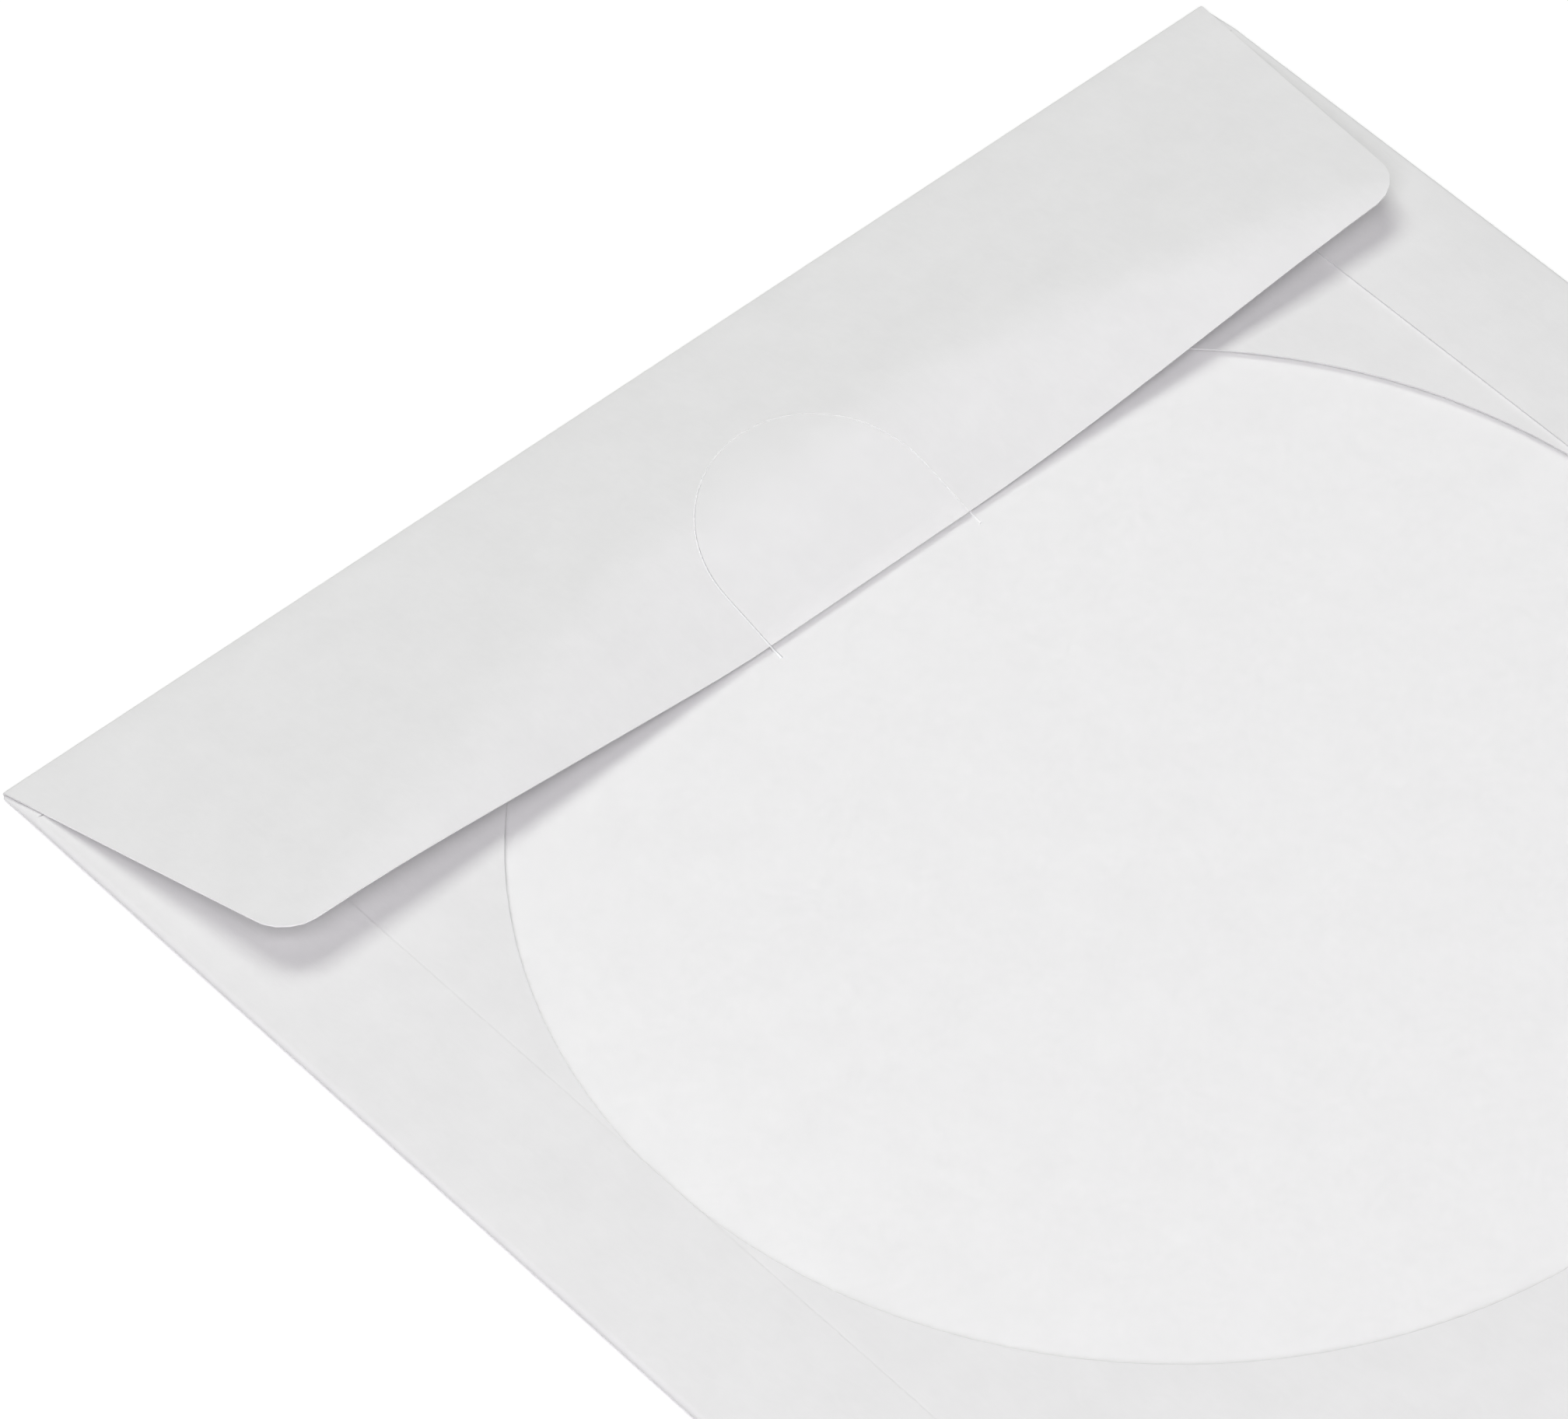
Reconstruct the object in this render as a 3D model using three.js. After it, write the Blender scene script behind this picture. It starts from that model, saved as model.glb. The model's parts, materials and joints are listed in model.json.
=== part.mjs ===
// An empty paper sleeve for one 120 mm disc, lying with its round window up.
// It is one sheet of white paper, cut as a flat blank, then folded and glued: the back panel, the front
// panel with the window, two side flaps glued on the front panel, and a closing flap. A clear film is
// glued inside, behind the window. The closing flap is shut: a half-moon tongue, cut in the film, comes
// out over the middle of its edge, and the paper springs up in a soft ridge and at its two free corners.
// Millimetres, +Z up. The origin is on the table, under the middle of the window. +Y is the closed end.

import * as THREE from "three";
import { mergeVertices } from "three/addons/utils/BufferGeometryUtils.js";

const DEGREE = Math.PI / 180;

// The sheet and the film
const sleeveWidth = 125;
const sleeveHeight = 125;
const paper = 0.15;
const film = 0.05;
const glueLine = 0.02;
const pocketRoom = 0.35;
const looseFit = 0.3;
const restGap = 0.05;

// Front panel and window
const windowRim = 12.5;
const mouthInset = 3;

// Side flaps, folded over the front panel
const sideFlapWidth = 12.5;
const sideFlapTopInset = 4;
const sideFlapBottomInset = 2;
const sideFlapSlant = 4;

// Closing flap
const flapOverWindow = 15.8;
const flapSideInset = 0.2;
const flapTaper = 9.5 * DEGREE;
const flapCorner = 5;
const flapCrease = 0.15;
const flapRiseSide = 8.4 * DEGREE;
const flapRiseMiddle = 11 * DEGREE;
const ridgeSoftness = 0.5;
const flapHold = 0.8;
const leftCornerLift = 5;
const leftLiftStart = 3;
const rightCornerLift = 4.5;
const rightLiftStart = 14;

// Window film and its tongue
const filmMargin = 6;
const tongueWidth = 20.6;
const tongueOffset = 0.6;
const tongueSlope = 16 * DEGREE;
const tongueBend = 0.6;
const tongueTipInset = 0.2;
const slitWidth = 0.1;

// Smoothness of the curved forms
const windowSides = 120;
const turnSteps = 8;
const flapColumns = 36;
const flapRows = 18;
const cornerRows = 6;
const tongueColumns = 12;
const bendRows = 4;
const tipRows = 14;

// Heights of the layers, from the table up
const filmBottom = paper + pocketRoom;
const filmTop = filmBottom + film;
const frontBottom = filmTop + glueLine;
const frontTop = frontBottom + paper;
const sideBottom = frontTop + glueLine;
const sideTop = sideBottom + paper;

// Radii of the folds on the middle of the paper: each is half of the step between two layers
const sideTurn = sideBottom / 2;
const bottomTurn = frontBottom / 2;

// Places that several pieces share
const halfWidth = sleeveWidth / 2;
const halfHeight = sleeveHeight / 2;
const windowRadius = Math.min(halfWidth, halfHeight) - windowRim;
const backHalfWidth = halfWidth - sideTurn - paper / 2;
const backBottom = -halfHeight + bottomTurn + paper / 2;
const frontHalfWidth = backHalfWidth - looseFit;
const mouthY = halfHeight - mouthInset;

// The closing flap starts high enough at its crease to pass over the layers below it
const sideSlope = Math.tan(flapRiseSide);
const flapUnderside = Math.max(
  sideTop + restGap - sideSlope * sideFlapTopInset,
  frontTop + restGap - sideSlope * mouthInset,
  paper + 2 * flapCrease
);
const creaseTurn = flapUnderside / 2;
const creaseY = halfHeight - creaseTurn - paper / 2;
const flapHalfWidth = halfWidth - flapSideInset;
const flapEdgeY = windowRadius - flapOverWindow;

// The tongue leaves the film just in front of the flap's edge and lies along the paper
const slope = Math.tan(tongueSlope);
const heldHeight = filmTop + restGap + paper / 2;
const tongueClimb = heldHeight - filmBottom + (paper / 2 + restGap) / Math.cos(tongueSlope);
const hingeY = flapEdgeY - tongueClimb / slope - tongueBend / 2;
const tongueRadius = tongueWidth / 2;
const tongueLength = windowRadius - tongueTipInset - hingeY;
const heldHalfWidth = tongueRadius + flapHold;

// A corner is a point on the middle surface of a sheet, with the direction across its thickness
function cornerAt(place, normal) {
  return { place, normal };
}

function flatCorner(x, y, z) {
  return cornerAt(new THREE.Vector3(x, y, z), new THREE.Vector3(0, 0, 1));
}

// Triangles between rows of corners. Columns run to the right, and rows run up on the flat blank.
function grid(rows) {
  const triangles = [];
  for (let row = 0; row < rows.length - 1; row += 1) {
    for (let column = 0; column < rows[row].length - 1; column += 1) {
      const a = rows[row][column];
      const b = rows[row][column + 1];
      const c = rows[row + 1][column + 1];
      const d = rows[row + 1][column];
      triangles.push([a, b, c], [a, c, d]);
    }
  }
  return triangles;
}

// Triangles inside a flat outline with an optional hole. While they are chosen, straight edges are bowed
// towards the centre, so that no triangle lies along an edge.
function patch(outline, hole, centre, toCorner) {
  const bow = 1e-9;
  const bowed = (point) => {
    const offset = point.clone().sub(centre);
    return offset.multiplyScalar(1 + bow * offset.lengthSq());
  };
  const holes = hole.length > 0 ? [hole.map(bowed)] : [];
  const faces = THREE.ShapeUtils.triangulateShape(outline.map(bowed), holes);
  const points = [...outline, ...hole];
  const corners = points.map((point) => toCorner(point.x, point.y));
  return faces.map(([a, b, c]) => {
    const ab = points[b].clone().sub(points[a]);
    const ac = points[c].clone().sub(points[a]);
    return ab.cross(ac) > 0 ? [corners[a], corners[b], corners[c]] : [corners[a], corners[c], corners[b]];
  });
}

// A sheet with its thickness: two skins, and a wall along every free edge
function thicken(triangles, thickness) {
  const grain = 1e5;
  const key = (corner) => corner.place.toArray().map((value) => Math.round(value * grain)).join(" ");
  const freeEdges = new Map();
  triangles.forEach((corners) => corners.forEach((from, index) => {
    const to = corners[(index + 1) % 3];
    const opposite = `${key(to)}|${key(from)}`;
    if (freeEdges.has(opposite)) {
      freeEdges.delete(opposite);
    } else {
      freeEdges.set(`${key(from)}|${key(to)}`, [from, to]);
    }
  }));
  const positions = [];
  const add = (corner, side) => {
    const point = corner.place.clone().addScaledVector(corner.normal, (side * thickness) / 2);
    positions.push(...point.toArray().map((value) => Math.round(value * grain) / grain));
  };
  triangles.forEach(([a, b, c]) => {
    [a, b, c].forEach((corner) => add(corner, 1));
    [a, c, b].forEach((corner) => add(corner, -1));
  });
  freeEdges.forEach(([from, to]) => {
    add(from, 1);
    add(from, -1);
    add(to, -1);
    add(from, 1);
    add(to, -1);
    add(to, 1);
  });
  const geometry = new THREE.BufferGeometry();
  geometry.setAttribute("position", new THREE.Float32BufferAttribute(positions, 3));
  const merged = mergeVertices(geometry, 1e-5);
  merged.computeVertexNormals();
  return merged;
}

// The middle surface of a strip that folds half a turn, at a distance past the start of the fold
function halfTurn(distance, radius) {
  const angle = Math.min(distance / radius, Math.PI);
  const beyond = Math.max(distance - Math.PI * radius, 0);
  return {
    out: radius * Math.sin(angle) - beyond,
    up: radius * (1 - Math.cos(angle)),
    angle,
  };
}

function steps(count) {
  return Array.from({ length: count + 1 }, (_, step) => step / count);
}

// A side flap of the blank: side is 1 on the right and -1 on the left
function sideCorner(side, distance, y) {
  const turn = halfTurn(distance, sideTurn);
  return cornerAt(
    new THREE.Vector3(side * (backHalfWidth + turn.out), y, paper / 2 + turn.up),
    new THREE.Vector3(-side * Math.sin(turn.angle), 0, Math.cos(turn.angle))
  );
}

const sideFlapTop = halfHeight - sideFlapTopInset;
const sideFlapBottom = -halfHeight + sideFlapBottomInset;

function sideFlap(side) {
  const arc = Math.PI * sideTurn;
  const reach = arc + backHalfWidth - (halfWidth - sideFlapWidth);
  const across = steps(turnSteps).map((part) => part * arc);
  const rows = [sideFlapBottom, sideFlapTop].map((y) => {
    const row = across.map((distance) => sideCorner(side, distance, y));
    return side > 0 ? row : row.reverse();
  });
  const outline = [
    new THREE.Vector2(side * arc, sideFlapBottom),
    new THREE.Vector2(side * reach, sideFlapBottom + sideFlapSlant),
    new THREE.Vector2(side * reach, sideFlapTop - sideFlapSlant),
    new THREE.Vector2(side * arc, sideFlapTop),
  ];
  const centre = new THREE.Vector2(side * (arc + reach) / 2, 0);
  const flap = patch(outline, [], centre, (x, y) => sideCorner(side, side * x, y));
  return [...grid(rows), ...flap];
}

// The front panel of the blank hangs below the back panel and folds up over it
function frontCorner(x, distance) {
  const turn = halfTurn(distance, bottomTurn);
  return cornerAt(
    new THREE.Vector3(x, backBottom - turn.out, paper / 2 + turn.up),
    new THREE.Vector3(0, Math.sin(turn.angle), Math.cos(turn.angle))
  );
}

function frontPanel() {
  const arc = Math.PI * bottomTurn;
  const rows = steps(turnSteps).reverse().map((part) => (
    [-frontHalfWidth, frontHalfWidth].map((x) => frontCorner(x, part * arc))
  ));
  const mouth = arc + mouthY - backBottom;
  const centre = new THREE.Vector2(0, -(arc - backBottom));
  const outline = [
    new THREE.Vector2(-frontHalfWidth, -mouth),
    new THREE.Vector2(frontHalfWidth, -mouth),
    new THREE.Vector2(frontHalfWidth, -arc),
    new THREE.Vector2(-frontHalfWidth, -arc),
  ];
  const opening = Array.from({ length: windowSides }, (_, step) => {
    const angle = (step / windowSides) * 2 * Math.PI;
    return new THREE.Vector2(Math.cos(angle), Math.sin(angle)).multiplyScalar(windowRadius).add(centre);
  });
  return [...grid(rows), ...patch(outline, opening, centre, (x, y) => frontCorner(x, -y))];
}

// How far a free edge springs up at a distance from where it is held: gently at first, then straight
function springUp(distance, start) {
  const free = Math.max(distance, 0);
  return Math.sqrt(free * free + start * start) - start;
}

// The closing flap's half width at a distance from its crease, with its round corners
function flapHalfWidthAt(distance, length) {
  const straight = flapHalfWidth - distance * Math.tan(flapTaper);
  const intoCorner = Math.max(distance - (length - flapCorner), 0);
  const round = Math.sqrt(Math.max(flapCorner * flapCorner - intoCorner * intoCorner, 0));
  return straight - (flapCorner - round);
}

function flapRiseAt(x) {
  const inward = 1 - Math.min(Math.abs(x) / flapHalfWidth, 1) ** 2;
  return flapRiseSide + (flapRiseMiddle - flapRiseSide) * inward;
}

// Height of the closing flap over its crease: it rises from the crease, and falls to its held edge
function flapHeight(x, distance, length, creaseHeight) {
  const rising = Math.tan(flapRiseAt(x)) * distance;
  const side = x - tongueOffset;
  const cornerLift = side < 0 ? leftCornerLift : rightCornerLift;
  const liftStart = side < 0 ? leftLiftStart : rightLiftStart;
  const cornerDistance = flapHalfWidth - length * Math.tan(flapTaper) - heldHalfWidth;
  const spring = springUp(Math.abs(side) - heldHalfWidth, liftStart) / springUp(cornerDistance, liftStart);
  const falling = heldHeight - creaseHeight + cornerLift * spring + slope * (length - distance);
  return -ridgeSoftness * Math.log(Math.exp(-rising / ridgeSoftness) + Math.exp(-falling / ridgeSoftness));
}

// The closing flap past its crease, at a share of its length
function flapPlace(across, share) {
  const creaseRise = flapRiseAt(across * flapHalfWidth);
  const creaseEndY = creaseY + creaseTurn * Math.sin(creaseRise);
  const creaseHeight = creaseTurn + paper / 2 + creaseTurn * Math.cos(creaseRise);
  const length = creaseEndY - flapEdgeY;
  const distance = share * length;
  const x = across * flapHalfWidthAt(distance, length);
  return new THREE.Vector3(
    x,
    creaseEndY - distance,
    creaseHeight + flapHeight(x, distance, length, creaseHeight)
  );
}

// The direction across a curved sheet, from its slopes along and across
function sheetNormal(place, across, along) {
  const nudge = 1e-3;
  const acrossStep = place(across + nudge, along).sub(place(across - nudge, along));
  const alongStep = place(across, along + nudge).sub(place(across, along - nudge));
  return acrossStep.cross(alongStep).normalize();
}

function flapCornerAt(across, share) {
  return cornerAt(flapPlace(across, share), sheetNormal(flapPlace, across, share));
}

function creaseCornerAt(across, part) {
  const x = across * flapHalfWidth;
  const angle = part * (Math.PI - flapRiseAt(x));
  return cornerAt(
    new THREE.Vector3(x, creaseY + creaseTurn * Math.sin(angle), paper / 2 + creaseTurn * (1 - Math.cos(angle))),
    new THREE.Vector3(0, -Math.sin(angle), Math.cos(angle))
  );
}

// Stations down the closing flap: even at first, then close together in the round corners
function flapStations() {
  const length = creaseY - flapEdgeY;
  const cornerStart = 1 - flapCorner / length;
  const straight = steps(flapRows).slice(1).map((part) => part * cornerStart);
  const corner = steps(cornerRows).slice(1).map((part) => (
    cornerStart + (Math.sin((part * Math.PI) / 2) * flapCorner) / length
  ));
  return [...straight, ...corner];
}

const columns = steps(flapColumns).map((part) => 2 * part - 1);

function closingFlap() {
  const crease = steps(turnSteps).map((part) => columns.map((across) => creaseCornerAt(across, part)));
  const flap = flapStations().map((share) => columns.map((across) => flapCornerAt(across, share)));
  return grid([...crease, ...flap]);
}

// The back panel carries all the other panels, so its outline has a point wherever one of them starts
function backPanel() {
  const right = [
    new THREE.Vector2(frontHalfWidth, backBottom),
    new THREE.Vector2(backHalfWidth, backBottom),
    new THREE.Vector2(backHalfWidth, sideFlapBottom),
    new THREE.Vector2(backHalfWidth, sideFlapTop),
  ];
  const left = right.map((point) => new THREE.Vector2(-point.x, point.y)).reverse();
  const top = columns.map((across) => new THREE.Vector2(-across * flapHalfWidth, creaseY));
  const toCorner = (x, y) => flatCorner(x, y, paper / 2);
  return patch([...right, ...top, ...left], [], new THREE.Vector2(0, 0), toCorner);
}

// The tongue's half width at a distance from the hinge: straight sides, then a half circle
function tongueHalfWidthAt(distance) {
  const intoTip = Math.max(distance - (tongueLength - tongueRadius), 0);
  return Math.sqrt(Math.max(tongueRadius * tongueRadius - intoTip * intoTip, 0));
}

// The raised tongue, at a distance from the hinge measured on the film
function tonguePlace(across, distance) {
  const reach = distance * Math.cos(tongueSlope);
  const bent = Math.min(Math.max(reach, 0), tongueBend);
  const climb = slope * ((bent * bent) / (2 * tongueBend) + Math.max(reach - tongueBend, 0));
  return new THREE.Vector3(
    tongueOffset + across * tongueHalfWidthAt(distance),
    hingeY + reach,
    filmBottom + film / 2 + climb
  );
}

const tongueAcross = steps(tongueColumns).map((part) => 2 * part - 1);

function tongueStations() {
  const straightEnd = tongueLength - tongueRadius;
  const bend = steps(bendRows).slice(1).map((part) => part * tongueBend);
  const tip = steps(tipRows + 1).slice(1, -1).map((part) => (
    straightEnd + tongueRadius * Math.sin((part * Math.PI) / 2)
  ));
  return [...bend, straightEnd, ...tip];
}

function tongue() {
  const filmMiddle = filmBottom + film / 2;
  const hinge = tongueAcross.map((across) => flatCorner(tongueOffset + across * tongueRadius, hingeY, filmMiddle));
  const raised = tongueStations().map((distance) => tongueAcross.map((across) => (
    cornerAt(tonguePlace(across, distance), sheetNormal(tonguePlace, across, distance))
  )));
  return grid([hinge, ...raised]);
}

// The film around the tongue: a square with the opening that the tongue was cut from
function filmAround() {
  const reach = windowRadius + filmMargin;
  const outline = [
    new THREE.Vector2(-reach, -reach),
    new THREE.Vector2(reach, -reach),
    new THREE.Vector2(reach, reach),
    new THREE.Vector2(-reach, reach),
  ];
  const hinge = tongueAcross.map((across) => new THREE.Vector2(tongueOffset + across * tongueRadius, hingeY));
  const slit = tongueRadius + slitWidth;
  const slitY = hingeY + tongueLength - tongueRadius;
  const arch = steps(2 * tipRows).map((part) => new THREE.Vector2(
    tongueOffset + slit * Math.cos(part * Math.PI),
    slitY + slit * Math.sin(part * Math.PI)
  ));
  const opening = [
    ...hinge,
    new THREE.Vector2(tongueOffset + slit, hingeY),
    ...arch,
    new THREE.Vector2(tongueOffset - slit, hingeY),
  ];
  const toCorner = (x, y) => flatCorner(x, y, filmBottom + film / 2);
  return patch(outline, opening, new THREE.Vector2(0, 0), toCorner);
}

const whitePaper = new THREE.MeshStandardMaterial({ color: 0xe8e6e6, roughness: 0.85, metalness: 0 });
const clearFilm = new THREE.MeshStandardMaterial({
  color: 0xf2f2f4, roughness: 0.15, metalness: 0, transparent: true, opacity: 0.25,
});

const sheet = [...backPanel(), ...frontPanel(), ...sideFlap(1), ...sideFlap(-1), ...closingFlap()];
const paperSleeve = new THREE.Mesh(thicken(sheet, paper), whitePaper);
paperSleeve.name = "paper_sleeve";

const windowFilm = new THREE.Mesh(thicken([...filmAround(), ...tongue()], film), clearFilm);
windowFilm.name = "window_film";

const sleeve = new THREE.Group();
sleeve.name = "cd_sleeve";
sleeve.add(paperSleeve, windowFilm);

export default sleeve;
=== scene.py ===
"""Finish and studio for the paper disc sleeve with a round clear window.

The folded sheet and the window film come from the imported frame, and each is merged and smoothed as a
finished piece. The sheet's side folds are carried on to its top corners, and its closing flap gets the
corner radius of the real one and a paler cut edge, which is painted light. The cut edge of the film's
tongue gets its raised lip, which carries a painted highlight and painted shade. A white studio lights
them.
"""

import json
import math

import bmesh
import bpy
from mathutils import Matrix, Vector

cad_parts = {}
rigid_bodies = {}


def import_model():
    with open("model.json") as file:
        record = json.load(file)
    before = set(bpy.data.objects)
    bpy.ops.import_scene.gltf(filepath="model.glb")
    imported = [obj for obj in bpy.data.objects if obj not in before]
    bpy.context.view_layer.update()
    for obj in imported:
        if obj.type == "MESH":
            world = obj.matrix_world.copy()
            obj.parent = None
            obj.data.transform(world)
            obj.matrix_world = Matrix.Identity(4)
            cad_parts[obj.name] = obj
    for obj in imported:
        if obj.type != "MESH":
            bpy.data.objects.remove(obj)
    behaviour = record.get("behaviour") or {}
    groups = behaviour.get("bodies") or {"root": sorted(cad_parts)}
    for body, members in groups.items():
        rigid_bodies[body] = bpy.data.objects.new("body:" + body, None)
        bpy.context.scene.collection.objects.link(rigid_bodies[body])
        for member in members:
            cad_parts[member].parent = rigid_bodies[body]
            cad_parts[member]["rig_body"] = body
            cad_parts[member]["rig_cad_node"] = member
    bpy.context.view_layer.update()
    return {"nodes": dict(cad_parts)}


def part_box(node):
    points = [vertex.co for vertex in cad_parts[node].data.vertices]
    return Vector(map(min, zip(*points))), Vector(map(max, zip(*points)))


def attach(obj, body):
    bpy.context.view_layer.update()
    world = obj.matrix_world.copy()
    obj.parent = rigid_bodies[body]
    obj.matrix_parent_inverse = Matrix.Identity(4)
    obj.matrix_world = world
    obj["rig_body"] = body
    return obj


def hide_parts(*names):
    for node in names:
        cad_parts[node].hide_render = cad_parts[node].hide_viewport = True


bl_info = {
    "name": "CD sleeve",
    "version": (1, 0, 0),
    "blender": (4, 5, 0),
    "location": "View3D > Sidebar > CD sleeve",
    "description": "Paper disc sleeve with a clear window and a tucked closing flap",
    "category": "Object",
}

MM = 0.001
MERGE_DISTANCE = 0.000002
FOLD_WIDTH = 0.46 * MM
FILM_CREASE = math.radians(30)
LIP_CREASE = math.radians(60)
LIP_SIDES = 8
TONGUE_LENGTH = 17.0 * MM

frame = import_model()
film_low, film_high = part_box("window_film")
sheet_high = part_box("paper_sleeve")[1]


class SleevePaperSettings(bpy.types.PropertyGroup):
    colour: bpy.props.FloatVectorProperty(
        name="Paper colour",
        description="Colour of the uncoated sheet",
        subtype="COLOR",
        size=3,
        min=0,
        max=1,
        default=(0.777, 0.773, 0.775),
    )
    roughness: bpy.props.FloatProperty(
        name="Paper roughness",
        description="How matt the sheet is",
        subtype="FACTOR",
        min=0,
        max=1,
        default=0.82,
    )
    fibre: bpy.props.FloatProperty(
        name="Fibre size",
        description="Length of the fibres that show on the surface",
        subtype="DISTANCE",
        unit="LENGTH",
        min=0.0001,
        default=0.9 * MM,
    )
    # Painted light: the paler colour that the closing flap's thin cut edge is painted with.
    edge_painted_light_colour: bpy.props.FloatVectorProperty(
        name="Cut edge painted light",
        description="Colour of the thin cut edge, where light comes through the fibres",
        subtype="COLOR",
        size=3,
        min=0,
        max=1,
        default=(0.96, 0.955, 0.96),
    )
    flap_corner: bpy.props.FloatProperty(
        name="Flap corner",
        description="Radius of the closing flap's two corners",
        subtype="DISTANCE",
        unit="LENGTH",
        min=0.001,
        default=2.8 * MM,
    )
    crease_angle: bpy.props.FloatProperty(
        name="Crease angle",
        description="Faces that meet at more than this keep a sharp edge",
        subtype="ANGLE",
        unit="ROTATION",
        default=math.radians(32),
    )


class SleeveFilmSettings(bpy.types.PropertyGroup):
    haze_colour: bpy.props.FloatVectorProperty(
        name="Film haze",
        description="Colour of the light that the film itself scatters",
        subtype="COLOR",
        size=3,
        min=0,
        max=1,
        default=(0.96, 0.955, 0.965),
    )
    haze: bpy.props.FloatProperty(
        name="Window haze",
        description="How much each face of the flat film is seen, against the paper under it",
        subtype="FACTOR",
        min=0,
        max=1,
        default=0.16,
    )
    tongue_haze: bpy.props.FloatProperty(
        name="Tongue haze",
        description="The same for the raised tongue, which lies on the closing flap",
        subtype="FACTOR",
        min=0,
        max=1,
        default=0.02,
    )
    roughness: bpy.props.FloatProperty(
        name="Film roughness",
        description="Blur of what the film mirrors",
        subtype="FACTOR",
        min=0,
        max=1,
        default=0.14,
    )
    lip_width: bpy.props.FloatProperty(
        name="Cut lip",
        description="Width of the lip that the die leaves on the tongue's edge",
        subtype="DISTANCE",
        unit="LENGTH",
        min=0.00002,
        default=0.15 * MM,
    )
    tongue_width: bpy.props.FloatProperty(
        name="Tongue width",
        description="Width of the half-moon tongue",
        subtype="DISTANCE",
        unit="LENGTH",
        default=20.6 * MM,
    )
    tongue_offset: bpy.props.FloatProperty(
        name="Tongue offset",
        description="How far right of the middle the tongue sits",
        subtype="DISTANCE",
        unit="LENGTH",
        default=0.6 * MM,
    )
    tongue_slope: bpy.props.FloatProperty(
        name="Tongue slope",
        description="Slope of the raised tongue",
        subtype="ANGLE",
        unit="ROTATION",
        default=math.radians(16),
    )


class SleeveStudioSettings(bpy.types.PropertyGroup):
    room: bpy.props.FloatProperty(
        name="Room light",
        description="Strength of the even light from all round",
        min=0,
        default=0.17,
    )
    top_light: bpy.props.FloatProperty(
        name="Overhead light",
        description="Power of the soft light above and a little behind the sleeve",
        subtype="POWER",
        unit="POWER",
        min=0,
        default=7.4,
    )
    front_light: bpy.props.FloatProperty(
        name="Front fill",
        description="Power of the fill on the viewer's side",
        subtype="POWER",
        unit="POWER",
        min=0,
        default=15.2,
    )
    backdrop: bpy.props.FloatProperty(
        name="Backdrop",
        description="How white the floor and the room look",
        subtype="FACTOR",
        min=0,
        max=1,
        default=1.0,
    )


SETTINGS = (SleevePaperSettings, SleeveFilmSettings, SleeveStudioSettings)


def deselect():
    if bpy.context.object and bpy.context.object.mode != "OBJECT":
        bpy.ops.object.mode_set(mode="OBJECT")
    bpy.ops.object.select_all(action="DESELECT")


def make_active(piece):
    deselect()
    piece.select_set(True)
    bpy.context.view_layer.objects.active = piece


def finished_copy(node, name):
    """A copy of a solid of the frame with its loose triangles merged into one skin."""
    make_active(frame["nodes"][node])
    bpy.ops.object.duplicate()
    piece = bpy.context.object
    piece.name = name
    piece.data.name = name
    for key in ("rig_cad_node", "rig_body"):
        if key in piece:
            del piece[key]
    bpy.ops.object.mode_set(mode="EDIT")
    bpy.ops.mesh.select_all(action="SELECT")
    bpy.ops.mesh.remove_doubles(threshold=MERGE_DISTANCE)
    bpy.ops.mesh.customdata_custom_splitnormals_clear()
    bpy.ops.object.mode_set(mode="OBJECT")
    piece.data.materials.clear()
    return piece


def smooth(piece, angle):
    make_active(piece)
    bpy.ops.object.shade_smooth_by_angle(angle=angle)


def new_material(name):
    material = bpy.data.materials.new(name)
    material.use_nodes = True
    material.node_tree.nodes.clear()
    return material, material.node_tree.nodes, material.node_tree.links


def add_node(nodes, kind, **values):
    node = nodes.new(kind)
    for key, value in values.items():
        if hasattr(node, key):
            setattr(node, key, value)
        else:
            node.inputs[key.replace("_", " ")].default_value = value
    return node


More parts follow.
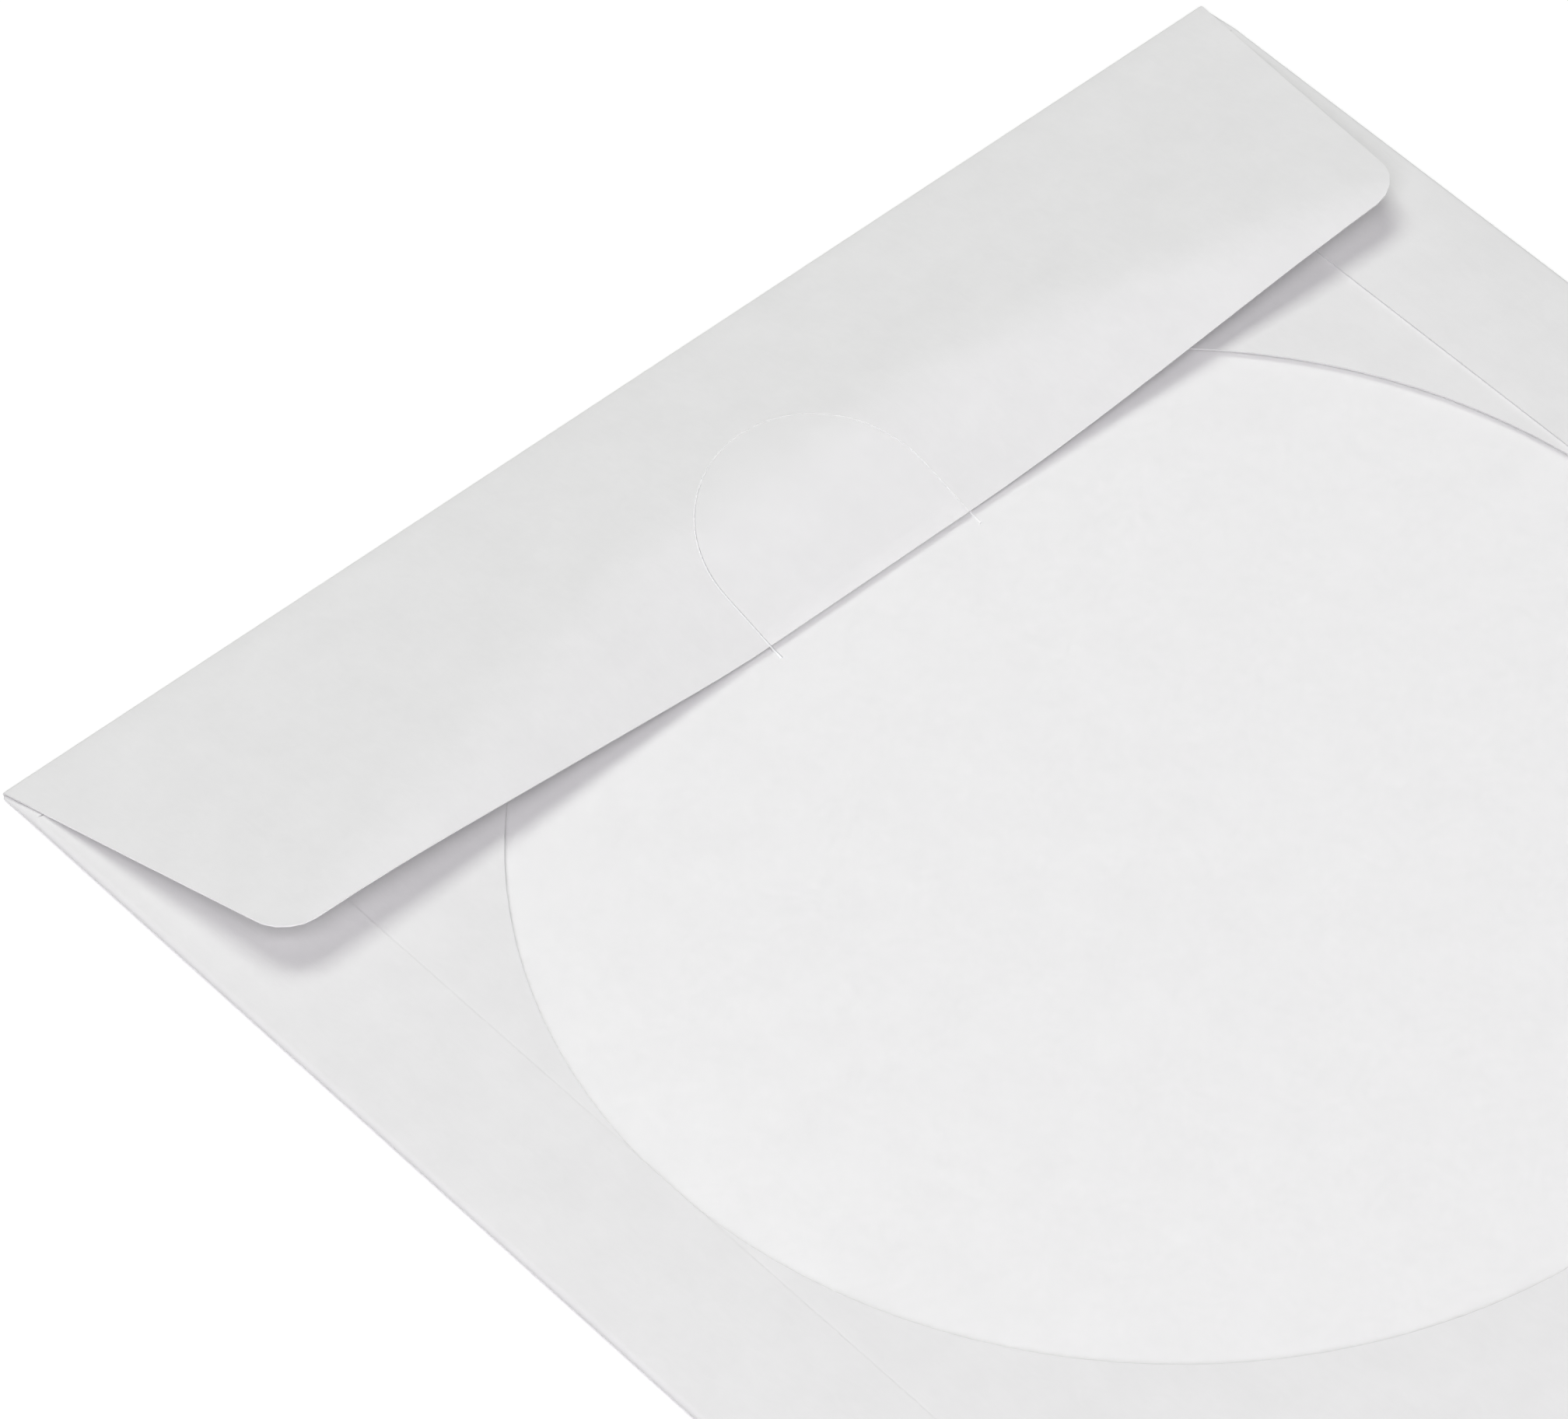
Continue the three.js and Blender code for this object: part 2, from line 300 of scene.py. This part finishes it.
def white_paper(name, colour):
    """Uncoated white paper: cloudy formation, short fibres, and a faint tooth in the shine."""
    settings = bpy.context.scene.sleeve_paper
    material, nodes, links = new_material(name)
    place = add_node(nodes, "ShaderNodeTexCoord")
    shader = add_node(nodes, "ShaderNodeBsdfPrincipled")
    shader.inputs["IOR"].default_value = 1.45
    shader.inputs["Specular IOR Level"].default_value = 0.25
    out = add_node(nodes, "ShaderNodeOutputMaterial")

    cloud = add_node(nodes, "ShaderNodeTexNoise", Scale=240.0, Detail=3.0, Roughness=0.6)
    stretch = add_node(nodes, "ShaderNodeMapping")
    stretch.inputs["Scale"].default_value = (1.0, 0.35, 1.0)
    stretch.inputs["Rotation"].default_value = (0, 0, 0.5)
    fibres = add_node(
        nodes, "ShaderNodeTexNoise", Scale=1.0 / settings.fibre, Detail=4.0, Roughness=0.65, Distortion=1.4
    )
    tint = add_node(nodes, "ShaderNodeValToRGB")
    base = Vector(colour)
    tint.color_ramp.elements[0].position = 0.3
    tint.color_ramp.elements[0].color = (*(base * 0.982), 1)
    tint.color_ramp.elements[1].position = 0.7
    tint.color_ramp.elements[1].color = (*(base * 1.012), 1)
    flecks = add_node(nodes, "ShaderNodeMix", data_type="RGBA", blend_type="MULTIPLY")
    flecks.inputs["Factor"].default_value = 1.0
    fleck_tone = add_node(nodes, "ShaderNodeMapRange")
    fleck_tone.inputs["From Min"].default_value = 0.3
    fleck_tone.inputs["From Max"].default_value = 0.7
    fleck_tone.inputs["To Min"].default_value = 0.988
    fleck_tone.inputs["To Max"].default_value = 1.008
    rough = add_node(nodes, "ShaderNodeMapRange")
    rough.inputs["To Min"].default_value = settings.roughness - 0.06
    rough.inputs["To Max"].default_value = settings.roughness + 0.08
    bump = add_node(nodes, "ShaderNodeBump")
    bump.inputs["Strength"].default_value = 0.35
    bump.inputs["Distance"].default_value = 0.00003

    links.new(place.outputs["Object"], cloud.inputs["Vector"])
    links.new(place.outputs["Object"], stretch.inputs["Vector"])
    links.new(stretch.outputs["Vector"], fibres.inputs["Vector"])
    links.new(cloud.outputs["Fac"], tint.inputs["Fac"])
    links.new(fibres.outputs["Fac"], fleck_tone.inputs["Value"])
    links.new(tint.outputs["Color"], flecks.inputs["A"])
    links.new(fleck_tone.outputs["Result"], flecks.inputs["B"])
    links.new(flecks.outputs["Result"], shader.inputs["Base Color"])
    links.new(fibres.outputs["Fac"], rough.inputs["Value"])
    links.new(rough.outputs["Result"], shader.inputs["Roughness"])
    links.new(fibres.outputs["Fac"], bump.inputs["Height"])
    links.new(bump.outputs["Normal"], shader.inputs["Normal"])
    links.new(shader.outputs["BSDF"], out.inputs["Surface"])
    return material


def ramp(nodes, low, high, start, end):
    """A map range with its four ends set."""
    node = add_node(nodes, "ShaderNodeMapRange")
    node.inputs["From Min"].default_value = low
    node.inputs["From Max"].default_value = high
    node.inputs["To Min"].default_value = start
    node.inputs["To Max"].default_value = end
    return node


def film_shader(nodes, colour):
    settings = bpy.context.scene.sleeve_film
    shader = add_node(nodes, "ShaderNodeBsdfPrincipled")
    shader.inputs["Base Color"].default_value = (*colour, 1)
    shader.inputs["Roughness"].default_value = settings.roughness
    shader.inputs["IOR"].default_value = 1.49
    return shader


def clear_film():
    """Thin clear film: cloudy where it lies flat over the pocket, and nearly gone on the raised tongue."""
    settings = bpy.context.scene.sleeve_film
    material, nodes, links = new_material("Clear window film")
    place = add_node(nodes, "ShaderNodeTexCoord")
    height = add_node(nodes, "ShaderNodeSeparateXYZ")
    shader = film_shader(nodes, settings.haze_colour)
    out = add_node(nodes, "ShaderNodeOutputMaterial")
    flat_height = film_high.z * 0.11
    tongue_height = film_high.z * 0.25
    raised = ramp(nodes, flat_height, tongue_height, settings.haze, settings.tongue_haze)
    cloud = add_node(nodes, "ShaderNodeTexNoise", Scale=210.0, Detail=5.0, Roughness=0.62, Distortion=0.6)
    cloud_share = ramp(nodes, 0.35, 0.65, 0.93, 1.07)
    share = add_node(nodes, "ShaderNodeMath", operation="MULTIPLY")
    rough = ramp(nodes, 0.3, 0.7, settings.roughness * 0.6, settings.roughness * 1.4)
    ripple = add_node(nodes, "ShaderNodeTexNoise", Scale=38.0, Detail=2.0, Roughness=0.5)
    bump = add_node(nodes, "ShaderNodeBump")
    bump.inputs["Strength"].default_value = 0.2
    bump.inputs["Distance"].default_value = 0.0003

    for texture in (cloud, ripple):
        links.new(place.outputs["Object"], texture.inputs["Vector"])
    links.new(place.outputs["Object"], height.inputs["Vector"])
    links.new(height.outputs["Z"], raised.inputs["Value"])
    links.new(cloud.outputs["Fac"], cloud_share.inputs["Value"])
    links.new(raised.outputs["Result"], share.inputs[0])
    links.new(cloud_share.outputs["Result"], share.inputs[1])
    links.new(share.outputs["Value"], shader.inputs["Alpha"])
    links.new(cloud.outputs["Fac"], rough.inputs["Value"])
    links.new(rough.outputs["Result"], shader.inputs["Roughness"])
    links.new(ripple.outputs["Fac"], bump.inputs["Height"])
    links.new(bump.outputs["Normal"], shader.inputs["Normal"])
    links.new(shader.outputs["BSDF"], out.inputs["Surface"])
    return material


def painted_edge_lines(name, colour, left_share, tip_share, end_share):
    """The tongue's cut edge, painted as a highlight in a bright colour and as shade in a dark one: it
    shows most on the left leg and where the cut ends in the flat film.
    """
    material, nodes, links = new_material(name)
    place = add_node(nodes, "ShaderNodeTexCoord")
    split = add_node(nodes, "ShaderNodeSeparateXYZ")
    shader = film_shader(nodes, colour)
    out = add_node(nodes, "ShaderNodeOutputMaterial")
    leg_x = -9.4 * MM
    tip_x = -3.0 * MM
    slit_end_y = 33.2 * MM
    slit_top_y = 34.4 * MM
    leg = ramp(nodes, leg_x, tip_x, left_share, tip_share)
    cut_end = ramp(nodes, slit_end_y, slit_top_y, end_share, 0.0)
    share = add_node(nodes, "ShaderNodeMath", operation="MAXIMUM")
    links.new(place.outputs["Object"], split.inputs["Vector"])
    links.new(split.outputs["X"], leg.inputs["Value"])
    links.new(split.outputs["Y"], cut_end.inputs["Value"])
    links.new(leg.outputs["Result"], share.inputs[0])
    links.new(cut_end.outputs["Result"], share.inputs[1])
    links.new(share.outputs["Value"], shader.inputs["Alpha"])
    links.new(shader.outputs["BSDF"], out.inputs["Surface"])
    return material


def round_flap(sheet):
    """Draw the closing flap's corners out to the radius of the real sheet."""
    radius = bpy.context.scene.sleeve_paper.flap_corner
    packed_radius = 5 * MM
    edge = 34.2 * MM
    edge_margin = 0.1 * MM
    panel_clear = 1.6 * MM
    still_x = 42 * MM
    blend_width = 10 * MM
    for vertex in sheet.data.vertices:
        place = vertex.co
        in_rows = edge - edge_margin < place.y < edge + packed_radius
        if not in_rows or place.z <= panel_clear or abs(place.x) <= still_x:
            continue
        wide = min(max(edge + packed_radius - place.y, 0), packed_radius)
        tight = min(max(edge + radius - place.y, 0), radius)
        now = packed_radius - math.sqrt(packed_radius * packed_radius - wide * wide)
        then = radius - math.sqrt(radius * radius - tight * tight)
        share = min((abs(place.x) - still_x) / blend_width, 1)
        place.x += math.copysign((now - then) * share * share, place.x)


def paint_light_on_cut_edges(sheet):
    """Give the closing flap's cut edge the paler copy of the paper: painted light on that thin edge, in
    place of the shade that it would render with.
    """
    top_fold = 0.4 * MM
    panel_top = 0.95 * MM
    steep = 0.6
    make_active(sheet)
    bpy.ops.object.mode_set(mode="EDIT")
    bpy.ops.mesh.select_mode(type="FACE")
    bpy.ops.mesh.select_all(action="DESELECT")
    mesh = bmesh.from_edit_mesh(sheet.data)
    for face in mesh.faces:
        middle = face.calc_center_median()
        inside = abs(middle.x) < sheet_high.x - FOLD_WIDTH and abs(middle.y) < sheet_high.y - top_fold
        if inside and middle.z > panel_top and abs(face.normal.z) < steep:
            # These edge faces take the paler copy of the paper, painted light.
            face.material_index = 1
    bmesh.update_edit_mesh(sheet.data)
    bpy.ops.object.mode_set(mode="OBJECT")


def close_corners(sheet):
    """Pinch both side folds down to the top fold, so that the sheet's outline runs on to its corners."""
    fold_end = sheet_high.y - 4 * MM
    reach = 3.7 * MM
    pinch = 0.28
    tolerance = 0.01 * MM
    make_active(sheet)
    bpy.ops.object.mode_set(mode="EDIT")
    bpy.ops.mesh.select_all(action="DESELECT")
    bpy.ops.mesh.select_mode(type="FACE")
    mesh = bmesh.from_edit_mesh(sheet.data)
    for face in mesh.faces:
        middle = face.calc_center_median()
        at_end = abs(middle.y - fold_end) < tolerance and face.normal.y > 0.9
        face.select_set(at_end and abs(middle.x) > sheet_high.x - FOLD_WIDTH)
    mesh.select_flush_mode()
    bmesh.update_edit_mesh(sheet.data)
    bpy.ops.mesh.extrude_region_move(TRANSFORM_OT_translate={"value": (0, reach, 0)})
    bpy.ops.transform.resize(value=(1, 1, pinch), center_override=(0, 0, 0))
    tuck_under(sheet, 1)
    tuck_under(sheet, -1)
    bpy.ops.object.mode_set(mode="OBJECT")


def tuck_under(sheet, side):
    """Carry the upper layer of one pinched fold in under the closing flap."""
    inner = side * (sheet_high.x - 0.445 * MM)
    pinch_start = sheet_high.y - 3.9 * MM
    pinch_end = sheet_high.y - 0.5 * MM
    upper_layer = 0.3 * MM
    tolerance = 0.02 * MM
    reach = 2.5 * MM
    mesh = bmesh.from_edit_mesh(sheet.data)
    for face in mesh.faces:
        middle = face.calc_center_median()
        pinched = pinch_start < middle.y < pinch_end and middle.z > upper_layer
        faces_in = abs(middle.x - inner) < tolerance and abs(face.normal.x) > 0.95
        face.select_set(pinched and faces_in)
    mesh.select_flush_mode()
    bmesh.update_edit_mesh(sheet.data)
    bpy.ops.mesh.extrude_region_move(TRANSFORM_OT_translate={"value": (-side * reach, 0, 0)})


class OBJECT_OT_folded_sheet(bpy.types.Operator):
    """Finish the folded paper sheet: back, front panel, side flaps and closing flap"""

    bl_idname = "object.sleeve_folded_sheet"
    bl_label = "Folded sheet"

    def execute(self, context):
        settings = context.scene.sleeve_paper
        sheet = finished_copy("paper_sleeve", "folded_sheet")
        sheet.data.materials.append(white_paper("White uncoated paper", settings.colour))
        # The second slot is the paler copy of the paper, painted light on the flap's cut edge.
        sheet.data.materials.append(white_paper("Cut paper edge, painted light", settings.edge_painted_light_colour))
        round_flap(sheet)
        paint_light_on_cut_edges(sheet)
        close_corners(sheet)
        smooth(sheet, settings.crease_angle)
        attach(sheet, "root")
        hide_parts("paper_sleeve")
        return {"FINISHED"}


class OBJECT_OT_clear_window(bpy.types.Operator):
    """Finish the window film and the half-moon tongue that is cut in it"""

    bl_idname = "object.sleeve_clear_window"
    bl_label = "Window film"

    def execute(self, context):
        window = finished_copy("window_film", "clear_window")
        smooth(window, FILM_CREASE)
        window.data.materials.append(clear_film())
        window.visible_shadow = False
        window.visible_diffuse = False
        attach(window, "root")
        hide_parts("window_film")
        return {"FINISHED"}


def tongue_edge():
    """Points along the tongue's cut edge, from one end of the hinge round the tip to the other."""
    settings = bpy.context.scene.sleeve_film
    radius = settings.tongue_width / 2
    slope = math.tan(settings.tongue_slope)
    rise = math.cos(settings.tongue_slope)
    tip_y = 49.8 * MM
    hinge_y = tip_y - TONGUE_LENGTH
    straight = TONGUE_LENGTH - radius
    bend = 0.6 * MM
    half_film = 0.025 * MM
    level = film_low.z + half_film
    side = []
    rows = 8
    for row in range(rows + 1):
        side.append((radius, straight * row / rows))
    turns = 26
    for turn in range(1, turns + 1):
        angle = math.pi / 2 * turn / turns
        side.append((radius * math.cos(angle), straight + radius * math.sin(angle)))
    points = []
    for sign, run in ((1, side), (-1, side[-2::-1])):
        for across, along in run:
            reach = along * rise
            bent = min(max(reach, 0), bend)
            climb = slope * (bent * bent / (2 * bend) + max(reach - bend, 0))
            points.append(Vector((settings.tongue_offset + sign * across, hinge_y + reach, level + climb)))
    return points


class OBJECT_OT_tongue_lip(bpy.types.Operator):
    """Add the fine lip that the die leaves along the tongue's cut edge, carrying a painted highlight and
    painted shade
    """

    bl_idname = "object.sleeve_tongue_lip"
    bl_label = "Tongue lip"

    def execute(self, context):
        settings = context.scene.sleeve_film
        points = tongue_edge()
        deselect()
        radius = settings.lip_width / 2
        bpy.ops.mesh.primitive_circle_add(vertices=LIP_SIDES, radius=radius, location=(0, 0, 0))
        lip = context.object
        lip.name = "tongue_lip"
        lip.data.name = "tongue_lip"
        sweep(lip, points, radius)
        smooth(lip, LIP_CREASE)
        # Painted highlight on the lip's outer faces and painted shade on its inner faces, strongest on the
        # left leg; the highlight also where the cut ends.
        painted_highlight = (0.95, 0.95, 0.96)
        painted_shade = (0.40, 0.40, 0.42)
        lip.data.materials.append(
            painted_edge_lines("Cut film edge", painted_highlight, left_share=0.5, tip_share=0.16, end_share=0.9)
        )
        lip.data.materials.append(
            painted_edge_lines("Cut film edge, painted shade", painted_shade, left_share=0.45, tip_share=0.0, end_share=0.0)
        )
        lip.visible_shadow = False
        lip.visible_diffuse = False
        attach(lip, "root")
        return {"FINISHED"}


def sweep(piece, points, radius):
    """Give the piece a flattened tube along the points, thicker at its two ends, and shut there."""
    flatness = 0.55
    swell_share = 0.9
    swell_reach = 1.4 * MM
    painted_shade_sides = (2, 3, 4, 5)
    mesh = bmesh.new()
    rings = []
    for index, point in enumerate(points):
        before = points[max(index - 1, 0)]
        after = points[min(index + 1, len(points) - 1)]
        along = (after - before).normalized()
        side = along.cross(Vector((0, 0, 1))).normalized()
        up = side.cross(along).normalized()
        ring = []
        for turn in range(LIP_SIDES):
            angle = math.tau * turn / LIP_SIDES
            swell = 1.0 + swell_share * max(0.0, 1 - (point.y - points[0].y) / swell_reach)
            out = (side * math.cos(angle) + up * math.sin(angle) * flatness) * radius * swell
            ring.append(mesh.verts.new(point + out))
        rings.append(ring)
    for one, two in zip(rings, rings[1:]):
        for turn in range(LIP_SIDES):
            turned = (turn + 1) % LIP_SIDES
            face = mesh.faces.new((one[turn], one[turned], two[turned], two[turn]))
            # The inner faces take the painted shade, the rest the painted highlight.
            face.material_index = 1 if turn in painted_shade_sides else 0
    mesh.faces.new(rings[0])
    mesh.faces.new(rings[-1])
    bmesh.ops.recalc_face_normals(mesh, faces=mesh.faces)
    mesh.to_mesh(piece.data)
    mesh.free()


class OBJECT_OT_sleeve_stage(bpy.types.Operator):
    """Set the floor, the soft lights, the room and the camera"""

    bl_idname = "object.sleeve_stage"
    bl_label = "Stage"

    def execute(self, context):
        settings = context.scene.sleeve_studio
        floor(settings)
        room(settings)
        soft_light(
            "Overhead softbox",
            settings.top_light,
            place=(0.08, 0.50, 1.22),
            width=0.8,
            height=0.6,
            colour=(1.0, 1.035, 0.98),
        )
        soft_light(
            "Front fill",
            settings.front_light,
            place=(-0.62, -0.71, 1.09),
            width=1.2,
            height=0.9,
            colour=(1.0, 0.975, 1.02),
        )
        camera()
        context.scene.view_settings.view_transform = "Standard"
        return {"FINISHED"}


def floor(settings):
    below_sleeve = 0.02 * MM
    seen_lift = 0.12
    deselect()
    bpy.ops.mesh.primitive_plane_add(size=6, location=(0, 0, -below_sleeve))
    ground = bpy.context.object
    ground.name = "studio_floor"
    bpy.ops.object.transform_apply(location=True)
    material, nodes, links = new_material("Studio floor")
    path = add_node(nodes, "ShaderNodeLightPath")
    shade = add_node(nodes, "ShaderNodeBsdfDiffuse", Color=(0.93, 0.93, 0.93, 1))
    glow = add_node(nodes, "ShaderNodeEmission", Color=(1, 1, 1, 1))
    lift = add_node(nodes, "ShaderNodeMath", operation="MULTIPLY")
    lift.inputs[1].default_value = seen_lift * settings.backdrop
    add = add_node(nodes, "ShaderNodeAddShader")
    out = add_node(nodes, "ShaderNodeOutputMaterial")
    links.new(path.outputs["Is Camera Ray"], lift.inputs[0])
    links.new(lift.outputs["Value"], glow.inputs["Strength"])
    links.new(shade.outputs["BSDF"], add.inputs[0])
    links.new(glow.outputs["Emission"], add.inputs[1])
    links.new(add.outputs["Shader"], out.inputs["Surface"])
    ground.data.materials.append(material)


def room(settings):
    world = bpy.data.worlds.new("White room")
    bpy.context.scene.world = world
    world.use_nodes = True
    nodes = world.node_tree.nodes
    links = world.node_tree.links
    nodes.clear()
    path = add_node(nodes, "ShaderNodeLightPath")
    seen = add_node(nodes, "ShaderNodeMath", operation="MAXIMUM")
    seen_at_all = add_node(nodes, "ShaderNodeMath", operation="MAXIMUM")
    white = add_node(nodes, "ShaderNodeBackground", Strength=settings.backdrop)
    white.inputs["Color"].default_value = (1, 1, 1, 1)
    light = add_node(nodes, "ShaderNodeBackground", Strength=settings.room)
    light.inputs["Color"].default_value = (1, 1, 1, 1)
    mix = add_node(nodes, "ShaderNodeMixShader")
    out = add_node(nodes, "ShaderNodeOutputWorld")
    links.new(path.outputs["Is Camera Ray"], seen.inputs[0])
    links.new(path.outputs["Is Glossy Ray"], seen.inputs[1])
    links.new(seen.outputs["Value"], seen_at_all.inputs[0])
    links.new(path.outputs["Is Transmission Ray"], seen_at_all.inputs[1])
    links.new(seen_at_all.outputs["Value"], mix.inputs[0])
    links.new(light.outputs["Background"], mix.inputs[1])
    links.new(white.outputs["Background"], mix.inputs[2])
    links.new(mix.outputs["Shader"], out.inputs["Surface"])


def soft_light(name, power, place, width, height, colour):
    """A large area lamp that faces the sleeve."""
    deselect()
    facing = (-Vector(place)).to_track_quat("-Z", "Y").to_euler()
    bpy.ops.object.light_add(type="AREA", location=place, rotation=facing)
    lamp = bpy.context.object
    lamp.name = name
    lamp.data.shape = "RECTANGLE"
    lamp.data.size = width
    lamp.data.size_y = height
    lamp.data.energy = power
    lamp.data.color = colour


def camera():
    """The camera of the photograph: a long lens above the lower left, a little rolled."""
    turn = math.radians(-40.972)
    lift = math.radians(49.118)
    roll = math.radians(-1.027)
    target = Vector((-13.161, 28.701, 0.72)) * MM
    distance = 745.36 * MM
    focal_pixels = 12584
    photo_width = 2016
    sensor_width = 36
    back = Vector((math.sin(turn) * math.cos(lift), -math.cos(turn) * math.cos(lift), math.sin(lift)))
    right = Vector((math.cos(turn), math.sin(turn), 0))
    up = back.cross(right)
    x_axis = right * math.cos(roll) + up * math.sin(roll)
    y_axis = up * math.cos(roll) - right * math.sin(roll)
    deselect()
    bpy.ops.object.camera_add(location=target + back * distance)
    eye = bpy.context.object
    eye.name = "Photo camera"
    rotation = eye.matrix_world.to_3x3()
    for row in range(3):
        rotation[row][0] = x_axis[row]
        rotation[row][1] = y_axis[row]
        rotation[row][2] = back[row]
    eye.rotation_euler = rotation.to_euler()
    eye.data.sensor_fit = "HORIZONTAL"
    eye.data.sensor_width = sensor_width
    eye.data.lens = focal_pixels / photo_width * sensor_width
    eye.data.clip_start = 0.01
    eye.data.clip_end = 20
    eye.data.dof.use_dof = False
    bpy.context.scene.camera = eye


class VIEW3D_PT_cd_sleeve(bpy.types.Panel):
    """Lists the steps that finish the sleeve and set its stage"""

    bl_idname = "VIEW3D_PT_cd_sleeve"
    bl_label = "CD sleeve"
    bl_space_type = "VIEW_3D"
    bl_region_type = "UI"
    bl_category = "CD sleeve"

    def draw(self, context):
        column = self.layout.column(align=True)
        for operator in OPERATORS:
            column.operator(operator.bl_idname)
        for group in (context.scene.sleeve_paper, context.scene.sleeve_film, context.scene.sleeve_studio):
            box = self.layout.box()
            for key in group.bl_rna.properties.keys():
                if key not in ("rna_type", "name"):
                    box.prop(group, key)


OPERATORS = (
    OBJECT_OT_folded_sheet,
    OBJECT_OT_clear_window,
    OBJECT_OT_tongue_lip,
    OBJECT_OT_sleeve_stage,
)
CLASSES = (*SETTINGS, *OPERATORS, VIEW3D_PT_cd_sleeve)


def register():
    for entry in CLASSES:
        bpy.utils.register_class(entry)
    bpy.types.Scene.sleeve_paper = bpy.props.PointerProperty(type=SleevePaperSettings)
    bpy.types.Scene.sleeve_film = bpy.props.PointerProperty(type=SleeveFilmSettings)
    bpy.types.Scene.sleeve_studio = bpy.props.PointerProperty(type=SleeveStudioSettings)


def unregister():
    del bpy.types.Scene.sleeve_studio
    del bpy.types.Scene.sleeve_film
    del bpy.types.Scene.sleeve_paper
    for entry in reversed(CLASSES):
        bpy.utils.unregister_class(entry)


def main():
    register()
    bpy.ops.object.sleeve_folded_sheet()
    bpy.ops.object.sleeve_clear_window()
    bpy.ops.object.sleeve_tongue_lip()
    bpy.ops.object.sleeve_stage()
    deselect()


if __name__ == "__main__":
    main()
